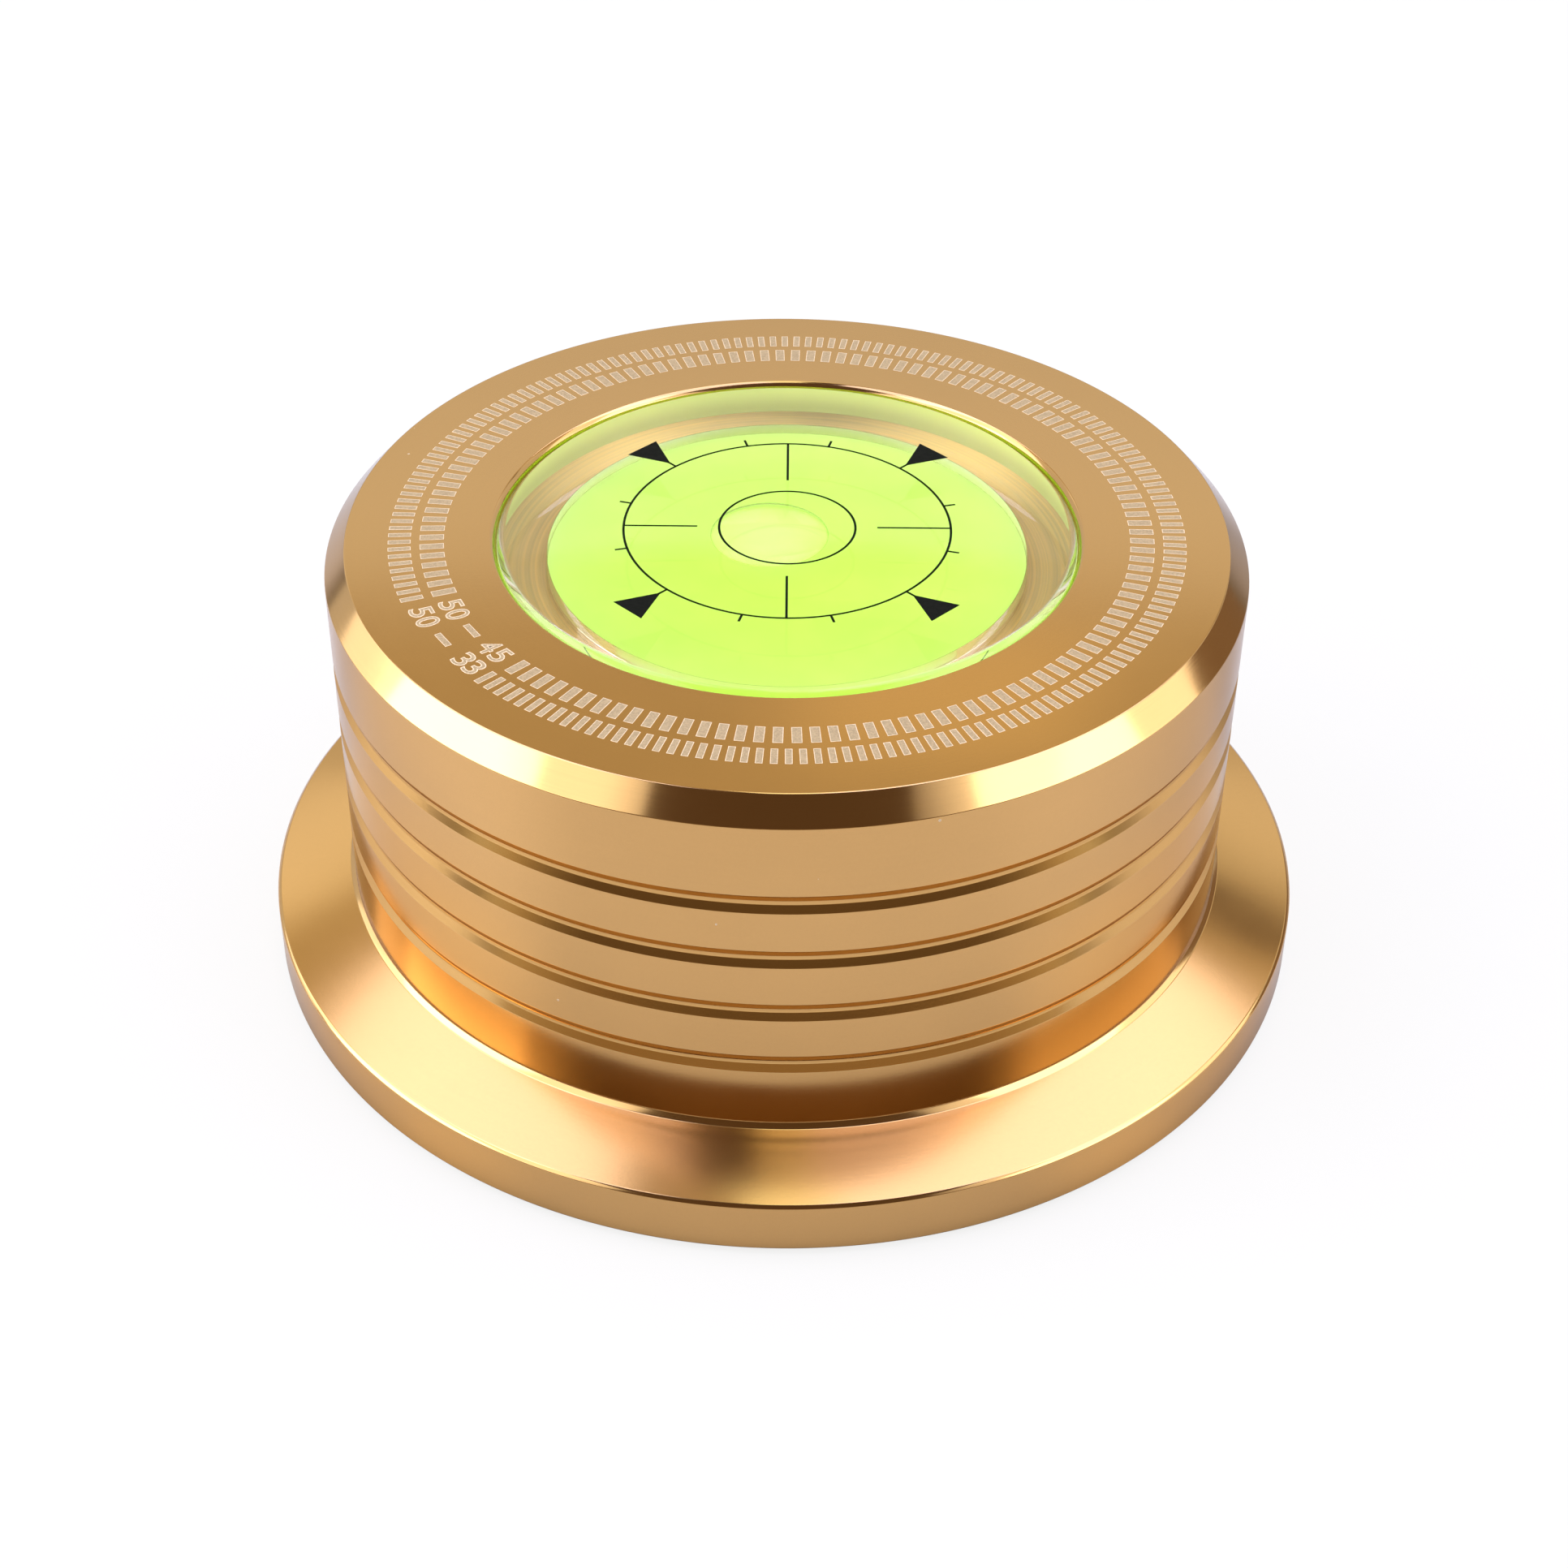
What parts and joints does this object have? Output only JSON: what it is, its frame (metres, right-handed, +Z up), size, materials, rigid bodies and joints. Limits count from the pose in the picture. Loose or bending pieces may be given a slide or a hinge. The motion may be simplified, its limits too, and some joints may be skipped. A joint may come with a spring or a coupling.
{
  "type": "record weight clamp",
  "caption": "Turned record weight with a grooved wall, a flared foot and a round bubble level in its top, which drops over a turntable's spindle to steady a disc.",
  "frame": {"origin": "centre of the felt pad's underside, the face that rests on a record's label", "axes": "+Z up along the turning axis, -Y towards the front, where the picture is taken from"},
  "size_m": [0.08, 0.08, 0.0344],
  "materials": {
    "gold_anodised": "fine satin gold anodising with bright turned chamfers",
    "clear_acrylic": "clear polished acrylic",
    "level_spirit": "clear yellow-green spirit",
    "white_plastic": "matt white",
    "black_felt": "short black felt"
  },
  "bodies": {
    "root": {"weight_body": "gold_anodised", "level_vial": "clear_acrylic", "level_fluid": "level_spirit", "level_base": "white_plastic", "felt_pad": "black_felt"}
  },
  "joints": []
}
